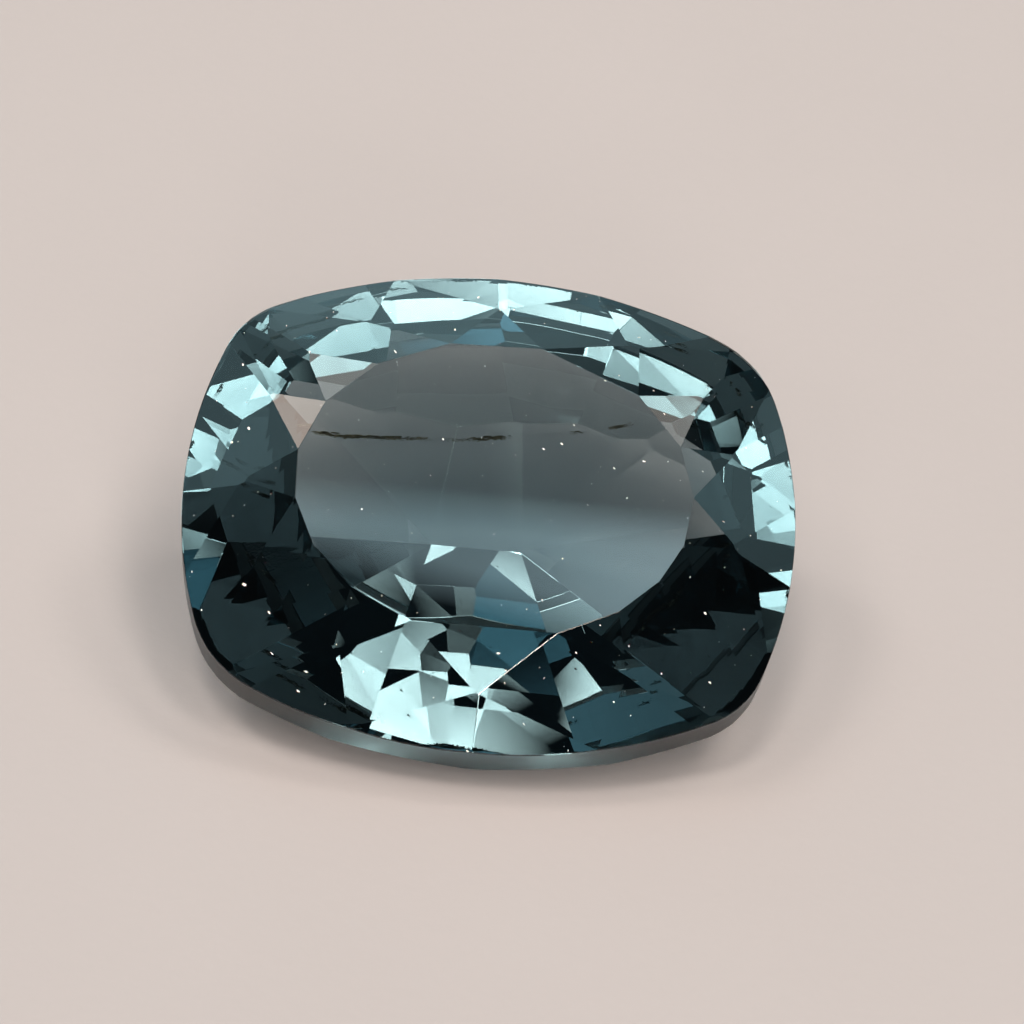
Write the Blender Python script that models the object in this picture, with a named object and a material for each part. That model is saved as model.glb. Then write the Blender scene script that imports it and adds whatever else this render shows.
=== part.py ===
"""Cushion-cut tourmaline gemstone, lying on one of its lower facets.

The stone is worked the way a cutter works it.  A blank with the outline of the
girdle is cut by one flat plane after another, and each plane leaves one facet.
The crown has a ring of mains, with star facets and girdle facets between them.
The pavilion has three rows: mains that meet in the keel, a middle row, and a row of
narrow facets along the girdle, each row steeper than the one below it.

Two frames are used.  In the cutter's frame the girdle is level, +Z runs out of
the table, +X along the stone's length, and the girdle's upper edge is at z = 0.
The finished stone is then tipped towards -Y, until the broad lower facet on that
side is level, and set down with that facet at z = 0.
"""

import bmesh
import bpy
from collections import namedtuple
from math import atan2, ceil, cos, pi, radians, sin, tan
from mathutils import Matrix, Vector

# Driving dimensions, in metres and degrees.
LENGTH = 0.0160                  # girdle, along X
WIDTH = 0.0135                   # girdle, along Y
LONG_SIDE_RADIUS = 0.0140        # bow of the two long sides
SHORT_SIDE_RADIUS = 0.0113       # bow of the two ends
CORNER_RADII = (0.0030, 0.0024)  # the corner at +X +Y and the one opposite, then the other two
GIRDLE_HEIGHT = 0.0011
CROWN_HEIGHT = 0.0014            # girdle's upper edge to table
PAVILION_DEPTH = 0.0044          # girdle's lower edge to keel
TABLE_LENGTH = 0.0103
TABLE_WIDTH = 0.0083
KEEL_ENDS_X = (-0.0014, 0.0010)  # the lower facets of the two halves meet at these two points

# The table's corners, by their angle round its oval.  The wheel was set by hand, so the
# steps are uneven, and the step at the -Y side is much the widest.
TABLE_CORNER_ANGLES = (3, 23, 46, 79, 106, 129, 151, 172, 191, 209, 228, 249, 291, 311, 328, 344)
STAR_DROP = 0.42                 # height of the star facets, as a share of the crown

# The mains of the pavilion, as (direction faced from +X, slope), in degrees.  They run to
# the keel.  The ones at the back are much the flattest, to keep the stone wide and heavy.
PAVILION_MAINS = ((-2, 27.5), (21, 22), (60, 19), (90, 16), (121, 20), (158, 26),
                  (179, 31), (201, 31), (240, 30.5), (270, 30), (299, 29.5), (340, 30))
RESTING_FACING = 270             # the stone lies on the main that faces -Y

# The two rows above the mains are steepest at the back and front.  Each value holds for
# one side of the stone and blends into the next one; "corners" is added between them.
Sides = namedtuple("Sides", "back front right left corners")
MIDDLE_ROW_SLOPES = Sides(back=44, front=40, right=36, left=36, corners=2)
GIRDLE_ROW_SLOPES = Sides(back=47, front=48, right=42, left=42, corners=0)
ROW_COUNT = 24                   # facets in each of the two rows
GIRDLE_ROW_WIDTH = 0.25          # of the distance from the girdle to the keel
WHEEL_ERROR = 1.5                # degrees; slopes set by hand wander this much

GIRDLE_STEP = 0.0004             # length of the girdle's flats between facet corners
MERGE_DISTANCE = 2e-7
BLANK_MARGIN = 0.001             # the blank stands this much proud of table and keel

STONE_COLOUR = (0.10, 0.33, 0.36, 1.0)
STONE_IOR = 1.63
STONE_ROUGHNESS = 0.02


def clear_scene():
    """Remove every object that the file starts with."""
    for item in list(bpy.data.objects):
        bpy.data.objects.remove(item, do_unlink=True)


# ---------------------------------------------------------------- outline

def corner_arc(radius):
    """Centre of the corner arc at +X +Y, and the angles where it meets end and side."""
    side_centre = Vector((0.0, WIDTH / 2 - LONG_SIDE_RADIUS))
    end_centre = Vector((LENGTH / 2 - SHORT_SIDE_RADIUS, 0.0))
    to_side = LONG_SIDE_RADIUS - radius
    to_end = SHORT_SIDE_RADIUS - radius
    across = end_centre - side_centre
    gap = across.length
    along = (to_side ** 2 - to_end ** 2 + gap ** 2) / (2 * gap)
    off = (to_side ** 2 - along ** 2) ** 0.5
    unit = across.normalized()
    centre = side_centre + unit * along + Vector((-unit.y, unit.x)) * off
    if centre.x < 0 or centre.y < 0:
        centre = side_centre + unit * along - Vector((-unit.y, unit.x)) * off
    from_end = centre - end_centre
    from_side = centre - side_centre
    return centre, atan2(from_end.y, from_end.x), atan2(from_side.y, from_side.x)


def outline_point(facing):
    """The point of the girdle's outline whose outward normal faces this way (radians).

    The outline is four bowed sides joined by four tighter corners, each a circular arc,
    so the normal turns steadily round it and names every point once.
    """
    turn = facing % (2 * pi)
    quarter = int(turn // (pi / 2))
    flip_x = -1 if quarter in (1, 2) else 1
    flip_y = -1 if quarter in (2, 3) else 1
    nx = cos(turn) * flip_x
    ny = sin(turn) * flip_y
    first = atan2(ny, nx)
    radius = CORNER_RADII[quarter % 2]
    centre, end_limit, side_limit = corner_arc(radius)
    if first <= end_limit:
        centre = Vector((LENGTH / 2 - SHORT_SIDE_RADIUS, 0.0))
        radius = SHORT_SIDE_RADIUS
    elif first >= side_limit:
        centre = Vector((0.0, WIDTH / 2 - LONG_SIDE_RADIUS))
        radius = LONG_SIDE_RADIUS
    return Vector((flip_x * (centre.x + radius * nx), flip_y * (centre.y + radius * ny)))


def outline_loop(corner_facings):
    """Outline points that include every facet corner, with short flats between them."""
    fixed = sorted(f % (2 * pi) for f in corner_facings)
    loop = []
    for here, after in zip(fixed, fixed[1:] + [fixed[0] + 2 * pi]):
        span = (outline_point(after) - outline_point(here)).length
        steps = max(1, ceil(span / GIRDLE_STEP))
        loop += [outline_point(here + (after - here) * i / steps) for i in range(steps)]
    return loop


# ---------------------------------------------------------------- cutting

def make_blank(loop):
    """A straight-sided blank with the girdle's outline."""
    blank = bmesh.new()
    low = -(GIRDLE_HEIGHT + PAVILION_DEPTH + BLANK_MARGIN)
    high = CROWN_HEIGHT + BLANK_MARGIN
    face = blank.faces.new([blank.verts.new((p.x, p.y, low)) for p in loop])
    raised = bmesh.ops.extrude_face_region(blank, geom=[face])["geom"]
    tops = [v for v in raised if isinstance(v, bmesh.types.BMVert)]
    bmesh.ops.translate(blank, vec=(0, 0, high - low), verts=tops)
    bmesh.ops.recalc_face_normals(blank, faces=blank.faces)
    return blank


def cut_facet(stone, point, outward):
    """Grind away what lies outside one plane, and close the flat that it leaves."""
    everything = stone.verts[:] + stone.edges[:] + stone.faces[:]
    bmesh.ops.bisect_plane(stone, geom=everything, dist=MERGE_DISTANCE, plane_co=point,
                           plane_no=outward, clear_outer=True)
    open_edges = [e for e in stone.edges if len(e.link_faces) == 1]
    bmesh.ops.holes_fill(stone, edges=open_edges, sides=0)


def plane_through(a, b, c, centre):
    """Point and outward normal of the plane through three points."""
    normal = (b - a).cross(c - a).normalized()
    if normal.dot(a - centre) < 0:
        normal.negate()
    return a, normal


def line_of_two(first, second):
    """A point and a direction of the line where two planes cross."""
    (p, n), (q, m) = first, second
    direction = n.cross(m)
    rows = Matrix((n, m, direction))
    point = rows.inverted() @ Vector((n.dot(p), m.dot(q), direction.dot(p)))
    return point, direction


def at_height(line, z):
    """The point of a line at a given height."""
    point, direction = line
    return point + direction * ((z - point.z) / direction.z)


def ring_of_mains(facings, inner_points, edge_z):
    """Main facets: each touches the outline at its own facing and runs to an inner point."""
    mains = []
    tips = []
    for facing, inner in zip(facings, inner_points):
        rim = outline_point(facing)
        tip = Vector((rim.x, rim.y, edge_z))
        level = Vector((-sin(facing), cos(facing), 0.0))
        mains.append(plane_through(tip, tip + level, inner, Vector((0, 0, edge_z - inner.z))))
        tips.append(tip)
    return mains, tips


def break_facets(mains, tips, facings, apex_z, edge_z, centre):
    """The pairs of girdle facets that fill the gaps between neighbouring mains."""
    planes = []
    apexes = []
    count = len(mains)
    for i in range(count):
        j = (i + 1) % count
        apex = at_height(line_of_two(mains[i], mains[j]), apex_z)
        middle = facings[i] + ((facings[j] - facings[i]) % (2 * pi)) / 2
        rim = outline_point(middle)
        split = Vector((rim.x, rim.y, edge_z))
        planes.append(plane_through(apex, tips[i], split, centre))
        planes.append(plane_through(apex, tips[j], split, centre))
        apexes.append(apex)
    return planes, apexes


def sloped_plane(facing, slope, point):
    """A plane through a point that faces one way and down, this steep (degrees)."""
    tilt = radians(slope)
    return point, Vector((cos(facing) * sin(tilt), sin(facing) * sin(tilt), -cos(tilt)))


def on_side(sides, facing):
    """The value of a per-side dimension for a facet that faces this way."""
    along = cos(facing) ** 2 * (sides.right if cos(facing) > 0 else sides.left)
    across = sin(facing) ** 2 * (sides.back if sin(facing) > 0 else sides.front)
    return along + across + sides.corners * sin(2 * facing) ** 2


def wheel_error(number, row):
    """How far the hand-set wheel was off for one facet of a row, in degrees."""
    return WHEEL_ERROR * sin(2.4 * number + row)


def girdle_row_plane(facing, number):
    """A narrow facet that touches the girdle's lower edge."""
    rim = outline_point(facing)
    point = Vector((rim.x, rim.y, -GIRDLE_HEIGHT))
    return sloped_plane(facing, on_side(GIRDLE_ROW_SLOPES, facing) + wheel_error(number, 1), point)


def middle_row_plane(facing, number):
    """A facet that takes over from the girdle row, some way in from the girdle."""
    rim = outline_point(facing)
    outward = Vector((cos(facing), sin(facing)))
    inset = GIRDLE_ROW_WIDTH * outward.dot(rim)
    start = rim - outward * inset
    drop = inset * tan(radians(on_side(GIRDLE_ROW_SLOPES, facing)))
    point = Vector((start.x, start.y, -GIRDLE_HEIGHT - drop))
    return sloped_plane(facing, on_side(MIDDLE_ROW_SLOPES, facing) + wheel_error(number, 2), point)


def bisector(before, after):
    """The direction half-way between two directions, going round anticlockwise."""
    return before + ((after - before) % (2 * pi)) / 2


def middles(facings):
    """The facings half-way between neighbours of a ring."""
    return [bisector(f, g) for f, g in zip(facings, facings[1:] + facings[:1])]


# ---------------------------------------------------------------- the stone

def table_corners():
    """Corners of the table, on an oval."""
    return [Vector((TABLE_LENGTH / 2 * cos(radians(a)), TABLE_WIDTH / 2 * sin(radians(a)), CROWN_HEIGHT))
            for a in TABLE_CORNER_ANGLES]


def edge_facings(corners):
    """Outward direction of each edge of the table, the first one after the first corner."""
    facings = []
    for a, b in zip(corners, corners[1:] + corners[:1]):
        facings.append(atan2(-(b.x - a.x), b.y - a.y))
    return facings


def cut_crown():
    """Planes of the crown and the table, and the facings that the girdle has to include."""
    heart = Vector((0.0, 0.0, -GIRDLE_HEIGHT / 2))
    corners = table_corners()
    edges = edge_facings(corners)
    facings = [bisector(edges[i - 1], edges[i]) for i in range(len(edges))]
    mains, tips = ring_of_mains(facings, corners, 0.0)
    star_z = CROWN_HEIGHT * (1 - STAR_DROP)
    breaks, star_tips = break_facets(mains, tips, facings, star_z, 0.0, heart)
    stars = [plane_through(a, b, tip, heart)
             for a, b, tip in zip(corners, corners[1:] + corners[:1], star_tips)]
    table = (Vector((0.0, 0.0, CROWN_HEIGHT)), Vector((0.0, 0.0, 1.0)))
    return mains + breaks + stars + [table], facings + middles(facings)


def cut_pavilion():
    """Planes of the pavilion, the resting one first, and the facings for the girdle."""
    keel_z = -GIRDLE_HEIGHT - PAVILION_DEPTH
    left_end, right_end = (Vector((x, 0.0, keel_z)) for x in KEEL_ENDS_X)
    mains = []
    for direction, slope in PAVILION_MAINS:
        facing = radians(direction)
        plane = sloped_plane(facing, slope, right_end if cos(facing) > 0 else left_end)
        mains.insert(0 if direction == RESTING_FACING else len(mains), plane)
    facings = [(i + 0.5) * 2 * pi / ROW_COUNT for i in range(ROW_COUNT)]
    middle_row = [middle_row_plane(facing, number) for number, facing in enumerate(facings)]
    girdle_row = [girdle_row_plane(facing, number) for number, facing in enumerate(facings)]
    return mains + middle_row + girdle_row, facings + middles(facings)


def cut_stone():
    """Cut the whole stone in the cutter's frame; returns it with its resting plane."""
    crown, crown_facings = cut_crown()
    pavilion, pavilion_facings = cut_pavilion()
    stone = make_blank(outline_loop(crown_facings + pavilion_facings))
    for point, outward in pavilion + crown:
        cut_facet(stone, point, outward)
    bmesh.ops.remove_doubles(stone, verts=stone.verts, dist=MERGE_DISTANCE * 5)
    bmesh.ops.dissolve_degenerate(stone, edges=stone.edges, dist=MERGE_DISTANCE * 5)
    return stone, pavilion[0]


def set_down(stone, resting):
    """Tip the stone onto its resting facet and centre it over the origin."""
    point, outward = resting
    tip = outward.rotation_difference(Vector((0.0, 0.0, -1.0))).to_matrix()
    bmesh.ops.rotate(stone, matrix=tip, verts=stone.verts)
    floor = (tip @ point).z
    xs = [v.co.x for v in stone.verts]
    ys = [v.co.y for v in stone.verts]
    centre = Vector(((min(xs) + max(xs)) / 2, (min(ys) + max(ys)) / 2, floor))
    bmesh.ops.translate(stone, vec=-centre, verts=stone.verts)


def stone_material():
    """Clear blue-green tourmaline."""
    material = bpy.data.materials.new("tourmaline")
    material.use_nodes = True
    shader = material.node_tree.nodes["Principled BSDF"]
    shader.inputs["Base Color"].default_value = STONE_COLOUR
    shader.inputs["Roughness"].default_value = STONE_ROUGHNESS
    shader.inputs["Metallic"].default_value = 0.0
    shader.inputs["IOR"].default_value = STONE_IOR
    shader.inputs["Transmission Weight"].default_value = 1.0
    return material


def main():
    clear_scene()
    stone, resting = cut_stone()
    set_down(stone, resting)
    mesh = bpy.data.meshes.new("gemstone")
    stone.to_mesh(mesh)
    stone.free()
    mesh.materials.append(stone_material())
    gemstone = bpy.data.objects.new("gemstone", mesh)
    bpy.context.scene.collection.objects.link(gemstone)


main()
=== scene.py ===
# %% [markdown]
# # A cushion-cut tourmaline
#
# This lesson dresses one cut gemstone.  The stone itself, with every facet where the
# cutter put it, comes from the part that this script loads.  What is left to do here
# is what makes a solid look like a gem: edges that catch the light, a colour that
# builds up inside the stone, a ground girdle, a thin dark line of painted shade, a
# little dust, and light that comes from the places where a stone wants it.  Lengths
# are in metres, as Blender counts them, unless a name or a note says millimetres.

from collections import namedtuple
from math import cos, pi, radians, sin

import bmesh
import bpy
from mathutils import Matrix, Vector


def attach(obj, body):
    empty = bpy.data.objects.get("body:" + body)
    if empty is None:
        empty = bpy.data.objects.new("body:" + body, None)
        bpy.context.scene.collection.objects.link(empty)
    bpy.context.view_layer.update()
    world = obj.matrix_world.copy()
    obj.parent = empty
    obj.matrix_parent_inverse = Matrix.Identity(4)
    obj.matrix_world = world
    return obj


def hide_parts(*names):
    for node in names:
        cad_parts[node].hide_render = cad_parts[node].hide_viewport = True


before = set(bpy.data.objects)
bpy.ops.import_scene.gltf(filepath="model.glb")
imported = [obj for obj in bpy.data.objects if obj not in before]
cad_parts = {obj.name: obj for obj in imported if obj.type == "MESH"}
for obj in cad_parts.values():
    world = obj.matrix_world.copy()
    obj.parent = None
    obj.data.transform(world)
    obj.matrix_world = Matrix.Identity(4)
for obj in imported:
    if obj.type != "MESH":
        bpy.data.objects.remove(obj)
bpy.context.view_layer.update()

# %% [markdown]
# The stone lies tipped on one of its lower facets, so its own "up" is not the world's.
# A gem is described from its table, the big flat facet on top.  The table is the
# largest flat on the stone, so it can be measured rather than typed in: triangles that
# face the same way are added up, and the direction with the most area wins.  Corners
# are stored rounded, so one facet can come out as a few flats that are all but
# parallel, which does no harm.  Slivers are left out: their area is next to nothing,
# and their directions can't be trusted.

# %% List the flats
MERGE_DISTANCE = 2e-7
SAME_FACING = 1e-4
SLIVER_AREA = 2e-9


def solid_copy(source):
    """The part's solid with its loose triangles joined into one mesh."""
    joined = bmesh.new()
    joined.from_mesh(source.data)
    bmesh.ops.remove_doubles(joined, verts=joined.verts, dist=MERGE_DISTANCE)
    return joined


def list_flats(mesh):
    """The flats of a mesh, each as [outward direction, area, area-weighted centre]."""
    flats = []
    for face in mesh.faces:
        area = face.calc_area()
        centre = face.calc_center_median()
        for flat in flats:
            if (flat[0] - face.normal).length < SAME_FACING:
                flat[2] = (flat[2] * flat[1] + centre * area) / (flat[1] + area)
                flat[1] += area
                break
        else:
            flats.append([face.normal.copy(), area, centre.copy()])
    return [flat for flat in flats if flat[1] >= SLIVER_AREA]


solid = solid_copy(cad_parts["gemstone"])
stone_flats = list_flats(solid)
solid.free()
table_facing, table_area, table_centre = max(stone_flats, key=lambda flat: flat[1])
print(f"{len(stone_flats)} flats; the table covers {table_area * 1e6:.1f} mm2")

# %% [markdown]
# The stone's own directions follow from the table.  `table_facing` is its up, and the
# long way of the stone is level, because the stone is tipped straight towards -Y.
# Anything placed with the stone, such as the films of painted shade inside it, is
# easier to place in the stone's own directions than in the world's.

# %% The stone's own directions
LEVEL = Vector((1.0, 0.0, 0.0))
stone_back = table_facing.cross(LEVEL).normalized()


def from_stone(along, back, up):
    """A direction given in the stone's own frame, as a direction in the world."""
    return LEVEL * along + stone_back * back + table_facing * up


print("the table leans", round(table_facing.angle(Vector((0, 0, 1))) * 180 / pi, 1), "degrees")

# %% [markdown]
# ## Polished edges
#
# No real facet edge is perfectly sharp.  Polishing leaves it a few hundredths of a
# millimetre round, and that thin line is what flashes when the stone turns.  A Bevel
# modifier could round the edges, but a gem has very short edges where facets nearly
# meet in a point, and they would hold back every bevel on the stone.
#
# There is a neater way for a solid with no hollows.  Cut a slightly smaller stone, put
# a tiny ball on every corner of it and wrap the whole set in a convex hull: flats stay
# flat, and every edge and corner becomes as round as the ball.  The smaller stone comes
# first, by cutting a block along every flat, each moved inwards by the ball's radius.

# %% Cut the smaller stone
EDGE_RADIUS = 0.00004
BLOCK_SIDE = 0.04


def cut_inside(flats, inset):
    """A block cut by every flat, with each flat moved inwards by an inset."""
    block = bmesh.new()
    bmesh.ops.create_cube(block, size=BLOCK_SIDE)
    for facing, _, centre in flats:
        everything = block.verts[:] + block.edges[:] + block.faces[:]
        bmesh.ops.bisect_plane(block, geom=everything, dist=MERGE_DISTANCE, clear_outer=True,
                               plane_co=centre - facing * inset, plane_no=facing)
        open_edges = [edge for edge in block.edges if len(edge.link_faces) == 1]
        bmesh.ops.holes_fill(block, edges=open_edges, sides=0)
    bmesh.ops.remove_doubles(block, verts=block.verts, dist=MERGE_DISTANCE)
    return block


smaller = cut_inside(stone_flats, EDGE_RADIUS)
corner_mesh = bpy.data.meshes.new("facet_corners")
smaller.to_mesh(corner_mesh)
smaller.free()
print("corners to round:", len(corner_mesh.vertices))

# %% [markdown]
# ## Building node trees in a script
#
# The wrapping is a rule, "a ball at every corner, then a hull", so it is made with
# Geometry Nodes.  A tree can be built in a script like any other data: nodes are added
# and their sockets are joined.  Shader trees are built in the same way, so the helpers
# of this cell serve for both.

# %% Helpers for every tree
def add_node(tree, kind, settings=None, values=None):
    """Add a node, set its properties and the values of its unlinked inputs."""
    node = tree.nodes.new(kind)
    for name, value in (settings or {}).items():
        setattr(node, name, value)
    for name, value in (values or {}).items():
        node.inputs[name].default_value = value
    return node


def connect(tree, source, output, target, slot):
    """Join an output of one node to an input of another, each by name or number."""
    tree.links.new(source.outputs[output], target.inputs[slot])


def math_node(tree, operation, *operands):
    """A Math node; each operand is a number or a (node, output) pair."""
    node = add_node(tree, "ShaderNodeMath", {"operation": operation})
    for slot, operand in enumerate(operands):
        if isinstance(operand, tuple):
            connect(tree, *operand, node, slot)
        else:
            node.inputs[slot].default_value = operand
    return node


def ramp(tree, source, output, limits, results=(0.0, 1.0)):
    """Carry a value from its limits to two results, and hold it there beyond them."""
    names = ("From Min", "From Max", "To Min", "To Max")
    node = add_node(tree, "ShaderNodeMapRange", None, dict(zip(names, (*limits, *results))))
    connect(tree, source, output, node, "Value")
    return node


for helper in (add_node, connect, math_node, ramp):
    print(helper.__name__ + ":", helper.__doc__)

# %% [markdown]
# A Geometry Nodes tree needs a little more.  Its own inputs are declared on its
# interface, so that a size or a seed can be changed without opening the tree.  It ends
# in real geometry with a material, because instances would be lost on export.  The
# result is then kept as a plain mesh, and the modifier that made it is removed.

# %% Helpers for Geometry Nodes
def new_tree(name, inputs):
    """A Geometry Nodes tree with named inputs, its first node and its last."""
    tree = bpy.data.node_groups.new(name, "GeometryNodeTree")
    tree.interface.new_socket("Geometry", in_out="INPUT", socket_type="NodeSocketGeometry")
    for label, kind in inputs.items():
        tree.interface.new_socket(label, in_out="INPUT", socket_type="NodeSocket" + kind)
    tree.interface.new_socket("Geometry", in_out="OUTPUT", socket_type="NodeSocketGeometry")
    return tree, tree.nodes.new("NodeGroupInput"), tree.nodes.new("NodeGroupOutput")


def finish_tree(tree, start, last, output, end):
    """End a tree with real geometry that carries the tree's material."""
    real = add_node(tree, "GeometryNodeRealizeInstances")
    painted = add_node(tree, "GeometryNodeSetMaterial")
    connect(tree, last, output, real, "Geometry")
    connect(tree, real, "Geometry", painted, "Geometry")
    connect(tree, start, "Material", painted, "Material")
    connect(tree, painted, "Geometry", end, "Geometry")


def grow(name, source, tree, values):
    """Run a tree on a mesh or a curve and keep the result as a plain object."""
    seedling = bpy.data.objects.new(name + "_source", source)
    bpy.context.scene.collection.objects.link(seedling)
    modifier = seedling.modifiers.new("grow", "NODES")
    modifier.node_group = tree
    for item in tree.interface.items_tree:
        if item.in_out == "INPUT" and item.name in values:
            modifier[item.identifier] = values[item.name]
    evaluated = seedling.evaluated_get(bpy.context.evaluated_depsgraph_get())
    finished = bpy.data.meshes.new_from_object(evaluated)
    finished.name = name
    seedling.modifiers.remove(modifier)
    bpy.data.objects.remove(seedling, do_unlink=True)
    piece = bpy.data.objects.new(name, finished)
    bpy.context.scene.collection.objects.link(piece)
    print(name, "has", len(finished.vertices), "points and", len(finished.polygons), "faces")
    return piece


for helper in (new_tree, finish_tree, grow):
    print(helper.__name__ + ":", helper.__doc__)

# %% [markdown]
# Finishes share a few habits too.  Every pattern reads Object coordinates, so it stays
# put on its piece, and most real surfaces drift between two close tones rather than
# being one flat colour.

# %% Helpers for finishes
def new_material(name):
    """A node material with an empty tree except for its output."""
    material = bpy.data.materials.new(name)
    material.use_nodes = True
    tree = material.node_tree
    tree.nodes.clear()
    return material, tree, tree.nodes.new("ShaderNodeOutputMaterial")


def pattern(tree, per_metre, detail):
    """A noise that stays put on the piece."""
    place = add_node(tree, "ShaderNodeTexCoord")
    noise = add_node(tree, "ShaderNodeTexNoise", None, {"Scale": per_metre, "Detail": detail})
    connect(tree, place, "Object", noise, "Vector")
    return noise


def two_tones(tree, drift, first, second):
    """A colour that drifts between two tones, led by a noise."""
    tones = add_node(tree, "ShaderNodeMix", {"data_type": "RGBA"}, {"A": first, "B": second})
    connect(tree, drift, "Fac", tones, "Factor")
    return tones


for helper in (new_material, pattern, two_tones):
    print(helper.__name__ + ":", helper.__doc__)

# %% [markdown]
# ## Clear crystal
#
# Tourmaline is clear, so its colour isn't painted on.  Light loses more red than green
# or blue with every millimetre that it travels inside, and a long way round a facet
# corner comes out navy while a short one stays mint.  In Blender that is a Volume
# Absorption node on a shader with full transmission.
#
# The polish isn't perfect either.  A mask that the tree stores on the girdle makes that
# band rough, as the grinding wheel left it, and a faint haze of fingerprints dulls the
# facets a little.  Both work on the roughness alone, because the colour is inside.

# %% Tourmaline
STONE_IOR = 1.63
STONE_ABSORBS = (0.625, 0.70, 0.72, 1.0)
STONE_DENSITY = 520.0
POLISH = 0.0
HAZE = 0.012
SMEARS_PER_METRE = 260.0
SMEAR_LIMITS = (0.5, 0.75)
GRINDING = 0.42
GRAIN_PER_METRE = 14000.0
GRAIN_STRENGTH = 0.35
GRAIN_DEPTH = 0.00001


def tourmaline():
    """Clear blue-green crystal, polished all over and ground on the girdle."""
    material, tree, output = new_material("tourmaline")
    shader = add_node(tree, "ShaderNodeBsdfPrincipled", None,
                      {"Base Color": (1, 1, 1, 1), "IOR": STONE_IOR, "Transmission Weight": 1.0})
    inside = add_node(tree, "ShaderNodeVolumeAbsorption", None,
                      {"Color": STONE_ABSORBS, "Density": STONE_DENSITY})
    ground = add_node(tree, "ShaderNodeAttribute", {"attribute_name": "ground"})
    smears = pattern(tree, SMEARS_PER_METRE, 4.0)
    haze = ramp(tree, smears, "Fac", SMEAR_LIMITS, (POLISH, HAZE))
    dullness = add_node(tree, "ShaderNodeMix", {"data_type": "FLOAT"}, {"B": GRINDING})
    grain = pattern(tree, GRAIN_PER_METRE, 2.0)
    strength = math_node(tree, "MULTIPLY", (ground, "Fac"), GRAIN_STRENGTH)
    relief = add_node(tree, "ShaderNodeBump", None, {"Distance": GRAIN_DEPTH})
    connect(tree, haze, "Result", dullness, "A")
    connect(tree, ground, "Fac", dullness, "Factor")
    connect(tree, dullness, "Result", shader, "Roughness")
    connect(tree, strength, "Value", relief, "Strength")
    connect(tree, grain, "Fac", relief, "Height")
    connect(tree, relief, "Normal", shader, "Normal")
    connect(tree, shader, "BSDF", output, "Surface")
    connect(tree, inside, "Volume", output, "Volume")
    return material


crystal = tourmaline()
loss = [round(STONE_DENSITY * (1 - kept) / 1000, 3) for kept in STONE_ABSORBS[:3]]
print("red, green and blue absorbed, per mm:", loss)

# %% [markdown]
# Now the tree that wraps the corners.  It also stores the mask for the girdle: a face
# of that band looks straight out of the stone's side, so its normal is square to the
# table's.

# %% Wrap the stone
BALL_DETAIL = 2
SQUARE_TO_TABLE = 0.02


def wrapping_tree():
    """A ball on every corner, wrapped in a hull, with the girdle marked as ground."""
    tree, start, end = new_tree("wrap_corners", {"Edge Radius": "Float", "Ball Detail": "Int",
                                                 "Table Facing": "Vector", "Material": "Material"})
    ball = add_node(tree, "GeometryNodeMeshIcoSphere")
    balls = add_node(tree, "GeometryNodeInstanceOnPoints")
    joined = add_node(tree, "GeometryNodeRealizeInstances")
    hull = add_node(tree, "GeometryNodeConvexHull")
    normal = add_node(tree, "GeometryNodeInputNormal")
    lean = add_node(tree, "ShaderNodeVectorMath", {"operation": "DOT_PRODUCT"})
    slope = math_node(tree, "ABSOLUTE", (lean, "Value"))
    sideways = math_node(tree, "LESS_THAN", (slope, "Value"), SQUARE_TO_TABLE)
    mark = add_node(tree, "GeometryNodeStoreNamedAttribute",
                    {"data_type": "FLOAT", "domain": "FACE"}, {"Name": "ground"})
    connect(tree, start, "Edge Radius", ball, "Radius")
    connect(tree, start, "Ball Detail", ball, "Subdivisions")
    connect(tree, start, "Geometry", balls, "Points")
    connect(tree, ball, "Mesh", balls, "Instance")
    connect(tree, balls, "Instances", joined, "Geometry")
    connect(tree, joined, "Geometry", hull, "Geometry")
    connect(tree, normal, "Normal", lean, 0)
    connect(tree, start, "Table Facing", lean, 1)
    connect(tree, hull, "Convex Hull", mark, "Geometry")
    connect(tree, sideways, "Value", mark, "Value")
    finish_tree(tree, start, mark, "Geometry", end)
    return tree


polished = grow("polished_stone", corner_mesh, wrapping_tree(),
                {"Edge Radius": EDGE_RADIUS, "Ball Detail": BALL_DETAIL,
                 "Table Facing": table_facing, "Material": crystal})
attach(polished, "root")
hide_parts("gemstone")

# %% [markdown]
# ## A painted shadow line
#
# Through the table shows a thin dark line, the shadowed edge behind the stone seen
# through it.  It is painted in as a trail of tiny brown films inside the stone, so it
# is painted shade and no flaw of the stone.  One film can't be told from the next, so
# what counts is that the trail is thin, wanders a little, and fades out here and
# there.  Its finish is matt brown, nearly black where the films are thick.

# %% Browns for the painted shade
# Browns of the painted shade: films that stand for a shadowed edge seen through the table.
PAINTED_SHADE_SPOTS_PER_METRE = 2500.0
DARK_PAINTED_SHADE = (0.020, 0.017, 0.010, 1)
LIGHT_PAINTED_SHADE = (0.110, 0.095, 0.050, 1)


def painted_shade_finish():
    """Matt brown for the painted shadow line, darker in some films than in others."""
    material, tree, output = new_material("painted_shade_brown")
    shader = add_node(tree, "ShaderNodeBsdfPrincipled", None, {"Roughness": 0.8})
    shades = two_tones(tree, pattern(tree, PAINTED_SHADE_SPOTS_PER_METRE, 2.0), DARK_PAINTED_SHADE, LIGHT_PAINTED_SHADE)
    connect(tree, shades, "Result", shader, "Base Color")
    connect(tree, shader, "BSDF", output, "Surface")
    return material


painted_shade_brown = painted_shade_finish()
print("made the finish", painted_shade_brown.name)

# %% [markdown]
# The painted shadow line runs from side to side under the back half of the table,
# where the shadowed edge behind the stone shows through.  A curve is the natural start
# for anything that follows a path, and its places are given in the stone's own frame,
# in millimetres from the centre of the girdle.

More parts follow.
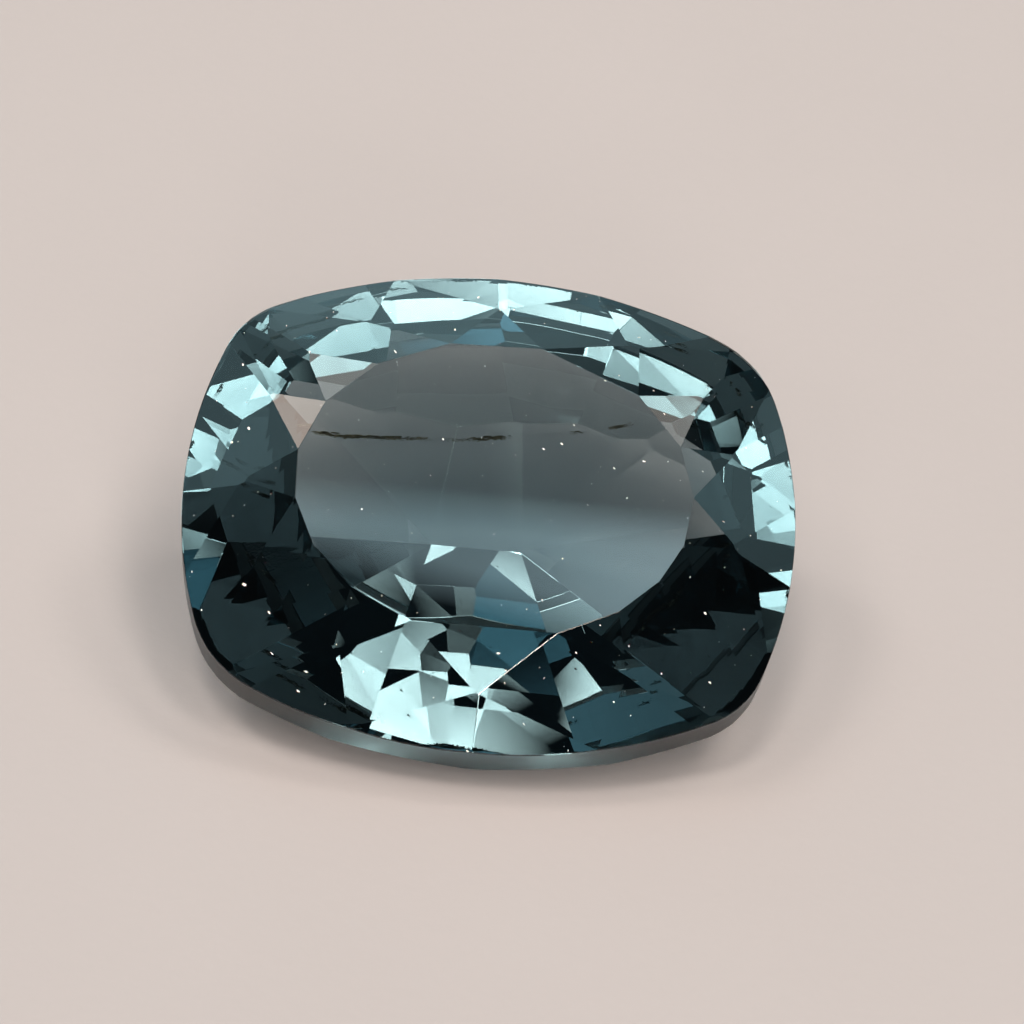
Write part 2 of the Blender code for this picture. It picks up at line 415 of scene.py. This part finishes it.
# %% The path of the painted shadow line
CROWN_HEIGHT = 0.0014  # from the table down to the centre of the girdle
SHADOW_LINE_LEVEL = -1.6  # in mm, as the path is
SHADOW_LINE_PATH = ((-4.5, 1.8), (-3.7, 1.75), (-2.3, 1.85), (-1.2, 1.9), (-0.4, 2.0), (1.5, 2.3),
              (3.0, 2.6), (4.0, 2.9))

girdle_centre = table_centre - table_facing * CROWN_HEIGHT


def in_stone(along, back, up):
    """A place given in the stone's own frame, in mm from the centre of the girdle."""
    return girdle_centre + from_stone(along, back, up) / 1000


def path_curve(name, places):
    """A curve of straight stretches through some places."""
    path = bpy.data.curves.new(name, "CURVE")
    path.dimensions = "3D"
    line = path.splines.new("POLY")
    line.points.add(len(places) - 1)
    for point, place in zip(line.points, places):
        point.co = (*place, 1.0)
    return path


# This curve carries the films of painted shade.
shadow_line_path = path_curve("shadow_line_path",
                        [in_stone(along, back, SHADOW_LINE_LEVEL) for along, back in SHADOW_LINE_PATH])
shadow_line_start = shadow_line_path.splines[0].points[0].co[:3]
print("the crack starts at", [round(1000 * c, 1) for c in shadow_line_start], "mm")

# %% [markdown]
# Repeated things look real only if no two are alike.  A Random Value node gives every
# point its own vector or number, and the seed is one of the tree's inputs, so the
# result is the same whenever the script runs.  The node keeps a set of sockets for each
# kind of value under the same few names, so those for plain numbers are picked by their
# place in the row.

# %% Helpers for random shapes
NUMBER_MAX = 3
NUMBER_OUT = 1


def random_vector(tree, start, lowest, highest):
    """A random vector for every point, led by the tree's own seed."""
    node = add_node(tree, "FunctionNodeRandomValue", {"data_type": "FLOAT_VECTOR"},
                    {"Min": lowest, "Max": highest})
    connect(tree, start, "Seed", node, "Seed")
    return node


def random_number(tree, start, highest):
    """A random number for every point, from nought, led by the tree's own seed."""
    node = add_node(tree, "FunctionNodeRandomValue", {"data_type": "FLOAT"})
    node.inputs[NUMBER_MAX].default_value = highest
    connect(tree, start, "Seed", node, "Seed")
    return node


def scaled_by(tree, vector, size):
    """A vector node times the (node, output) pair that holds a size."""
    node = add_node(tree, "ShaderNodeVectorMath", {"operation": "SCALE"})
    connect(tree, vector, 0, node, 0)
    connect(tree, *size, node, "Scale")
    return node


def unit_ball(tree):
    """A plain ball one unit across, which every copy scales to its own size."""
    return add_node(tree, "GeometryNodeMeshIcoSphere", None, {"Subdivisions": 2, "Radius": 0.5})


for helper in (random_vector, random_number, scaled_by, unit_ball):
    print(helper.__name__ + ":", helper.__doc__)

# %% [markdown]
# The tree drops a film every hundredth of a millimetre or so along the curve, and a
# slow noise decides how large the films are, so the trail comes and goes by itself.
# Each film is a flattened ball that points along the curve, and its three sizes are
# given as shares of one length: how thick, how wide and how long it is.

# %% Lay the films along it
FILMS = 600
FILM_LENGTH = 0.0002
FILM_WANDER = 0.00005
SLIGHTEST_FILM = (0.06, 0.08, 0.3)
STOUTEST_FILM = (0.16, 0.30, 1.3)
FADES_PER_METRE = 700.0
FADE_LIMITS = (0.46, 0.62)
FAINTEST = 0.1
SHADOW_LINE_SEED = 3


# The films that this tree lays are painted shade.
def shadow_line_tree():
    """Thin films along a curve, larger and smaller by a slow noise."""
    tree, start, end = new_tree("lay_films", {
        "Films": "Int", "Film Length": "Float", "Wander": "Float", "Seed": "Int",
        "Material": "Material"})
    steps = add_node(tree, "GeometryNodeCurveToPoints", {"mode": "COUNT"})
    away = scaled_by(tree, random_vector(tree, start, (-1, -1, -1), (1, 1, 1)), (start, "Wander"))
    strayed = add_node(tree, "GeometryNodeSetPosition")
    slow = add_node(tree, "ShaderNodeTexNoise", None, {"Scale": FADES_PER_METRE, "Detail": 2.0})
    fade = ramp(tree, slow, "Fac", FADE_LIMITS, (FAINTEST, 1.0))
    film = unit_ball(tree)
    size = math_node(tree, "MULTIPLY", (fade, "Result"), (start, "Film Length"))
    shares = random_vector(tree, start, SLIGHTEST_FILM, STOUTEST_FILM)
    shape = scaled_by(tree, shares, (size, "Value"))
    films = add_node(tree, "GeometryNodeInstanceOnPoints")
    connect(tree, start, "Geometry", steps, "Curve")
    connect(tree, start, "Films", steps, "Count")
    connect(tree, steps, "Points", strayed, "Geometry")
    connect(tree, away, "Vector", strayed, "Offset")
    connect(tree, strayed, "Geometry", films, "Points")
    connect(tree, film, "Mesh", films, "Instance")
    connect(tree, steps, "Rotation", films, "Rotation")
    connect(tree, shape, "Vector", films, "Scale")
    finish_tree(tree, start, films, "Instances", end)
    return tree


# The films are painted shade, where the shadowed edge behind the stone shows through the table.
shadow_line_films = grow("painted_shadow_line", shadow_line_path, shadow_line_tree(),
             {"Films": FILMS, "Film Length": FILM_LENGTH, "Wander": FILM_WANDER,
              "Seed": SHADOW_LINE_SEED, "Material": painted_shade_brown})
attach(shadow_line_films, "root")

# %% [markdown]
# ## Dust
#
# A clear flat surface shows every speck that lands on it.  The specks are lint and
# skin, seldom longer than a tenth of a millimetre, pale and irregular.  Light sinks a
# little way into such a fibre, so its finish has some subsurface scattering and no
# shine.

# %% A pale, fluffy finish
LINT_PER_METRE = 9000.0
GREY_LINT = (0.60, 0.62, 0.61, 1)
WHITE_LINT = (0.84, 0.88, 0.88, 1)


def lint():
    """Pale lint that lets a little light through."""
    material, tree, output = new_material("lint")
    shader = add_node(tree, "ShaderNodeBsdfPrincipled", None,
                      {"Roughness": 0.9, "Subsurface Weight": 0.3, "Subsurface Scale": 0.00003})
    shades = two_tones(tree, pattern(tree, LINT_PER_METRE, 3.0), GREY_LINT, WHITE_LINT)
    connect(tree, shades, "Result", shader, "Base Color")
    connect(tree, shader, "BSDF", output, "Surface")
    return material


pale_lint = lint()
print("made the finish", pale_lint.name)

# %% [markdown]
# Specks could be painted as dots, but real ones stand on the surface and have a shadow,
# so they are small lumps.  Dust settles on what looks up, so points are scattered over
# the facets that face nearly the same way as the table.  Each point gets its own turn
# about the facet's normal, and its own size: a random number to the fourth power is
# seldom large, so most specks are small and a few are big.

# %% Where each speck lies, and how big it is
LOOKS_UP = 0.75
RARITY = 4.0
SPECK_GROWTH = (0.35, 1.6)
SMALLEST_SPECK = (0.5, 0.3, 0.16)
LARGEST_SPECK = (1.6, 0.7, 0.30)


def settled_points(tree, start):
    """Points scattered over the faces that look the same way as the table."""
    normal = add_node(tree, "GeometryNodeInputNormal")
    lean = add_node(tree, "ShaderNodeVectorMath", {"operation": "DOT_PRODUCT"})
    upwards = math_node(tree, "GREATER_THAN", (lean, "Value"), LOOKS_UP)
    scatter = add_node(tree, "GeometryNodeDistributePointsOnFaces")
    connect(tree, normal, "Normal", lean, 0)
    connect(tree, start, "Table Facing", lean, 1)
    connect(tree, start, "Geometry", scatter, "Mesh")
    connect(tree, upwards, "Value", scatter, "Selection")
    connect(tree, start, "Specks Per Area", scatter, "Density")
    connect(tree, start, "Seed", scatter, "Seed")
    return scatter


def turned_specks(tree, start, scatter):
    """Each speck turned its own way about the normal of its facet."""
    spin = add_node(tree, "FunctionNodeAxisAngleToRotation")
    turned = add_node(tree, "FunctionNodeRotateRotation", {"rotation_space": "LOCAL"})
    connect(tree, random_number(tree, start, 2 * pi), NUMBER_OUT, spin, "Angle")
    connect(tree, scatter, "Rotation", turned, "Rotation")
    connect(tree, spin, "Rotation", turned, "Rotate By")
    return turned


def sized_specks(tree, start):
    """Sizes of which most are small and a few are big."""
    spread = random_number(tree, start, 1.0)
    rarely = math_node(tree, "POWER", (spread, NUMBER_OUT), RARITY)
    grown = ramp(tree, rarely, "Value", (0.0, 1.0), SPECK_GROWTH)
    size = math_node(tree, "MULTIPLY", (grown, "Result"), (start, "Speck Size"))
    shape = random_vector(tree, start, SMALLEST_SPECK, LARGEST_SPECK)
    return scaled_by(tree, shape, (size, "Value"))


print("specks are", SPECK_GROWTH[0], "to", SPECK_GROWTH[1], "times the usual size")

# %% [markdown]
# The lumps are made real before the last step, so that a fine noise can push every
# corner of every lump its own way.  Without it the specks would be smooth little
# pebbles, and all alike.

# %% Scatter the dust
SPECKS_PER_AREA = 1.1e6
SPECK_SIZE = 0.00006
RAGS_PER_METRE = 30000.0
NOISE_MIDDLE = (0.5, 0.5, 0.5)
DUST_SEED = 5


def dust_tree():
    """Ragged specks scattered over the upper facets."""
    tree, start, end = new_tree("scatter_dust", {
        "Specks Per Area": "Float", "Speck Size": "Float", "Table Facing": "Vector",
        "Seed": "Int", "Material": "Material"})
    scatter = settled_points(tree, start)
    turned = turned_specks(tree, start, scatter)
    sized = sized_specks(tree, start)
    lump = unit_ball(tree)
    specks = add_node(tree, "GeometryNodeInstanceOnPoints")
    real = add_node(tree, "GeometryNodeRealizeInstances")
    ragged = add_node(tree, "ShaderNodeTexNoise", None, {"Scale": RAGS_PER_METRE, "Detail": 1.0})
    centred = add_node(tree, "ShaderNodeVectorMath", {"operation": "SUBTRACT"})
    centred.inputs[1].default_value = NOISE_MIDDLE
    pushed = scaled_by(tree, centred, (start, "Speck Size"))
    moved = add_node(tree, "GeometryNodeSetPosition")
    connect(tree, scatter, "Points", specks, "Points")
    connect(tree, lump, "Mesh", specks, "Instance")
    connect(tree, turned, "Rotation", specks, "Rotation")
    connect(tree, sized, "Vector", specks, "Scale")
    connect(tree, specks, "Instances", real, "Geometry")
    connect(tree, ragged, "Color", centred, 0)
    connect(tree, real, "Geometry", moved, "Geometry")
    connect(tree, pushed, "Vector", moved, "Offset")
    finish_tree(tree, start, moved, "Geometry", end)
    return tree


dust = grow("dust", polished.data, dust_tree(),
            {"Specks Per Area": SPECKS_PER_AREA, "Speck Size": SPECK_SIZE,
             "Table Facing": table_facing, "Seed": DUST_SEED, "Material": pale_lint})
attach(dust, "root")

# %% [markdown]
# ## The room
#
# A cut stone shows its surroundings more than itself.  A dealer lays it on a pale sheet
# in a dim room and brings small soft lamps near, and every facet picks up either a lamp
# or the dark between them.  The sheet is a disc of cool grey paper with a faint grain,
# which the warm lamps turn a pale pinkish white.  It is scenery and no part of the
# stone.

# %% The sheet of paper
SHEET_RADIUS = 0.25
SHEET_SIDES = 96
SHEET_GAP = 0.00002
CLOUDS_PER_METRE = 45.0
FIBRES_PER_METRE = 2500.0
FIBRE_STRENGTH = 0.25
FIBRE_DEPTH = 0.00004
PAPER = (0.215, 0.226, 0.241, 1)
LIGHTER_PAPER = (0.235, 0.247, 0.263, 1)


def paper():
    """Uncoated grey paper."""
    material, tree, output = new_material("paper")
    shader = add_node(tree, "ShaderNodeBsdfPrincipled", None, {"Roughness": 0.85})
    tones = two_tones(tree, pattern(tree, CLOUDS_PER_METRE, 3.0), PAPER, LIGHTER_PAPER)
    fibres = pattern(tree, FIBRES_PER_METRE, 4.0)
    relief = add_node(tree, "ShaderNodeBump", None,
                      {"Strength": FIBRE_STRENGTH, "Distance": FIBRE_DEPTH})
    connect(tree, tones, "Result", shader, "Base Color")
    connect(tree, fibres, "Fac", relief, "Height")
    connect(tree, relief, "Normal", shader, "Normal")
    connect(tree, shader, "BSDF", output, "Surface")
    return material


disc = bmesh.new()
bmesh.ops.create_circle(disc, cap_ends=True, radius=SHEET_RADIUS, segments=SHEET_SIDES)
bmesh.ops.translate(disc, verts=disc.verts, vec=(0, 0, -SHEET_GAP))
sheet_mesh = bpy.data.meshes.new("paper_sheet")
disc.to_mesh(sheet_mesh)
disc.free()
sheet_mesh.materials.append(paper())
sheet = bpy.data.objects.new("paper_sheet", sheet_mesh)
bpy.context.scene.collection.objects.link(sheet)
print("sheet of paper,", 2000 * SHEET_RADIUS, "mm across")

# %% [markdown]
# The lamps are patches of the sky, not lamp objects: a patch lights the sheet and shows
# in the facets alike, and none stands in another view's way.  A lamp is given by its
# turn, from -Y towards +X, its height above the sheet and its radius, all in degrees,
# by how soft its rim is, and by its brightness.
#
# Light that has crossed the stone comes out green, so warm white lamps give mint
# facets.  Facets also mirror the sky a little, and there the colour stays: two pinkish
# lamps stand where the star facets behind the table mirror them.  The bright lamps are
# kept off every direction that a crown facet mirrors, or a grey veil would lie over
# that facet.  Broad, dim walls of teal keep the rest of the crown from going black.

# %% Lamps in the sky
WARM = (1.0, 0.80, 0.68)
PINK = (1.0, 0.95, 0.88)
TEAL = (0.60, 1.0, 1.10)

Lamp = namedtuple("Lamp", "turn height radius softness brightness")
LAMPS = {
    WARM: (
        # High up: these light the sheet, which shows through the table.
        Lamp(325, 73, 6.3, 0.3, 46), Lamp(47, 63, 6.5, 0.3, 26), Lamp(60, 74, 5.5, 0.3, 18),
        # In front, high to low: bright facets between the table and the front girdle.
        Lamp(13, 59, 4.5, 0.45, 2), Lamp(20, 46, 5.0, 0.45, 20), Lamp(34, 52, 5.0, 0.45, 15),
        Lamp(9, 33, 4.0, 0.45, 23), Lamp(11, 38, 3.0, 0.4, 20), Lamp(22, 34, 4.0, 0.45, 24),
        Lamp(3, 22, 4.5, 0.45, 30), Lamp(356, 31, 3.5, 0.4, 25), Lamp(349, 36, 3.5, 0.4, 22),
        Lamp(343, 43, 2.8, 0.15, 16), Lamp(338, 33, 3.9, 0.4, 21),
        # On the left and the right: bright facets behind the table and at its ends.
        Lamp(310, 54, 4.0, 0.45, 15), Lamp(288, 57, 5.0, 0.45, 14), Lamp(268, 62, 5.0, 0.45, 22),
        Lamp(255, 55, 4.0, 0.45, 20), Lamp(98, 59, 5.0, 0.45, 17), Lamp(118, 55, 5.0, 0.45, 17),
        Lamp(130, 64, 4.5, 0.45, 17),
        # Faint, because one crown facet mirrors it.
        Lamp(243, 53, 3.5, 0.3, 5),
    ),
    PINK: (Lamp(131, 52, 3.0, 0.3, 2.0), Lamp(220, 57, 3.8, 0.3, 2.2)),
    TEAL: (Lamp(192, 40, 20.0, 0.5, 1.3), Lamp(250, 42, 11.0, 0.5, 0.9),
           Lamp(107, 38, 9.0, 0.5, 0.9), Lamp(340, 57, 6.0, 0.5, 1.5)),
}


def sky_direction(turn, height):
    """The direction at this turn and this height, in degrees."""
    turn, height = radians(turn), radians(height)
    return Vector((sin(turn) * cos(height), -cos(turn) * cos(height), sin(height)))


def lamp_patch(tree, direction_node, lamp):
    """One round patch of sky; returns the node that holds its brightness."""
    towards = add_node(tree, "ShaderNodeVectorMath", {"operation": "DOT_PRODUCT"})
    towards.inputs[1].default_value = sky_direction(lamp.turn, lamp.height)
    connect(tree, direction_node, "Generated", towards, 0)
    rim = [cos(radians(lamp.radius * (1 + side * lamp.softness))) for side in (1, -1)]
    return ramp(tree, towards, "Value", rim, (0.0, lamp.brightness))


print(sum(len(lamps) for lamps in LAMPS.values()), "lamps in the sky")

# %% [markdown]
# The table is a mirror as well as a window.  It mirrors the sky a little in front of
# the zenith, and a narrow skylight there lays a cool sheen over the table's lower half.
# The sheen starts at a soft straight edge, grows a little towards the right, and leaves
# the upper half dark and clear.
#
# The skylight is easiest to give in parts of a direction one unit long.  Its far and
# near edges are lines of equal -Y, the near one drawn a little aslant, and the height
# keeps it from running on down the sky.

# %% The skylight
COOL = (0.62, 0.90, 1.0)
SKYLIGHT_FAR = 0.1045
SKYLIGHT_NEAR = 0.120
SKYLIGHT_SLANT = 0.18
SKYLIGHT_BLUR = 0.006
SKYLIGHT_SIDES = (0.0, 0.07)
SKYLIGHT_BRIGHTNESS = (2.2, 3.2)
SKYLIGHT_HEIGHT = (0.96, 0.97)


def skylight_patch(tree, parts):
    """A narrow strip of sky near the zenith; returns the node that holds its brightness."""
    aslant = math_node(tree, "MULTIPLY_ADD", (parts, "X"), SKYLIGHT_SLANT, (parts, "Y"))
    near = ramp(tree, aslant, "Value",
                (-SKYLIGHT_NEAR - SKYLIGHT_BLUR, -SKYLIGHT_NEAR + SKYLIGHT_BLUR))
    far = ramp(tree, parts, "Y", (-SKYLIGHT_FAR + SKYLIGHT_BLUR, -SKYLIGHT_FAR - SKYLIGHT_BLUR))
    overhead = ramp(tree, parts, "Z", SKYLIGHT_HEIGHT)
    side = ramp(tree, parts, "X", SKYLIGHT_SIDES, SKYLIGHT_BRIGHTNESS)
    lit = math_node(tree, "MULTIPLY", (near, "Result"), (far, "Result"))
    framed = math_node(tree, "MULTIPLY", (lit, "Value"), (overhead, "Result"))
    return math_node(tree, "MULTIPLY", (framed, "Value"), (side, "Result"))


print("the skylight starts", round(SKYLIGHT_FAR * 180 / pi, 1), "degrees in front of the zenith")

# %% [markdown]
# The dim room and everything that shines in it become one world shader.  The room goes
# from nearly black at the sheet to a faint blue overhead.  Lamps of one colour are
# added up first and coloured once, which keeps the shader small and the render quick.

# %% Light the room
ROOM_LOW = (0.006, 0.007, 0.008, 1)
ROOM_HIGH = (0.030, 0.042, 0.048, 1)


def add_light(tree, light, patches, colour):
    """Add patches of one colour to the (node, output) pair that holds the light so far."""
    brightness = (patches[0], 0)
    for patch in patches[1:]:
        brightness = (math_node(tree, "ADD", brightness, (patch, 0)), "Value")
    coloured = add_node(tree, "ShaderNodeVectorMath", {"operation": "SCALE"})
    coloured.inputs[0].default_value = colour
    added = add_node(tree, "ShaderNodeVectorMath", {"operation": "ADD"})
    connect(tree, *brightness, coloured, "Scale")
    connect(tree, *light, added, 0)
    connect(tree, coloured, "Vector", added, 1)
    return added, "Vector"


world = bpy.data.worlds.new("dim_room")
world.use_nodes = True
sky = world.node_tree
where = add_node(sky, "ShaderNodeTexCoord")
parts = add_node(sky, "ShaderNodeSeparateXYZ")
room = add_node(sky, "ShaderNodeMix", {"data_type": "RGBA"}, {"A": ROOM_LOW, "B": ROOM_HIGH})
connect(sky, where, "Generated", parts, "Vector")
connect(sky, parts, "Z", room, "Factor")
light = (room, "Result")
for colour, lamps in LAMPS.items():
    light = add_light(sky, light, [lamp_patch(sky, where, lamp) for lamp in lamps], colour)
light = add_light(sky, light, [skylight_patch(sky, parts)], COOL)
connect(sky, *light, sky.nodes["Background"], "Color")
bpy.context.scene.world = world
print("the room is a shader of", len(sky.nodes), "nodes")

# %% [markdown]
# ## The view
#
# The camera looks down on the table from close by, as a buyer does when the stone is
# held out.  Its right, its up and its back are given in the stone's own frame, so the
# view of the facets stays the same however the stone is tipped.

# %% Camera
LENS_MM = 126.17
SENSOR_MM = 36.0
CAMERA_DISTANCE = 0.0934
CLOSEST_SEEN = 0.001
SIDE_SHIFT = 0.0214
CAMERA_RIGHT = (0.9953, 0.0662, 0.0708)
CAMERA_UP = (-0.0892, 0.9113, 0.4020)
CAMERA_BACK = (-0.0380, -0.4064, 0.9129)
CAMERA_AIM = (0.22, -0.15, -0.06)  # in mm from the centre of the girdle

camera_data = bpy.data.cameras.new("camera")
camera_data.sensor_width = SENSOR_MM
camera_data.lens = LENS_MM
camera_data.shift_x = SIDE_SHIFT
camera_data.clip_start = CLOSEST_SEEN
camera_data.clip_end = 4 * SHEET_RADIUS
camera = bpy.data.objects.new("camera", camera_data)
axes = [from_stone(*axis).normalized() for axis in (CAMERA_RIGHT, CAMERA_UP, CAMERA_BACK)]
stand = Matrix(axes).transposed().to_4x4()
stand.translation = in_stone(*CAMERA_AIM) + axes[2] * CAMERA_DISTANCE
camera.matrix_world = stand
bpy.context.scene.collection.objects.link(camera)
bpy.context.scene.camera = camera
print("camera at", [round(1000 * c, 1) for c in camera.matrix_world.translation], "mm")

# %% [markdown]
# Light in a gem is mirrored from facet to facet a dozen times before it leaves.  Cycles
# stops a path after a few turns unless it is told to go on, and the stone would be
# black where the path was cut.  The sheet needs few turns, and a clamp on indirect
# light keeps stray bright dots away.

# %% Long light paths
cycles = bpy.context.scene.cycles
cycles.max_bounces = 18
cycles.glossy_bounces = 16
cycles.transmission_bounces = 16
cycles.diffuse_bounces = 2
cycles.blur_glossy = 0.3
cycles.sample_clamp_indirect = 6.0
bpy.context.scene.view_settings.view_transform = "Standard"
print("paths of up to", cycles.max_bounces, "bounces")

# %% [markdown]
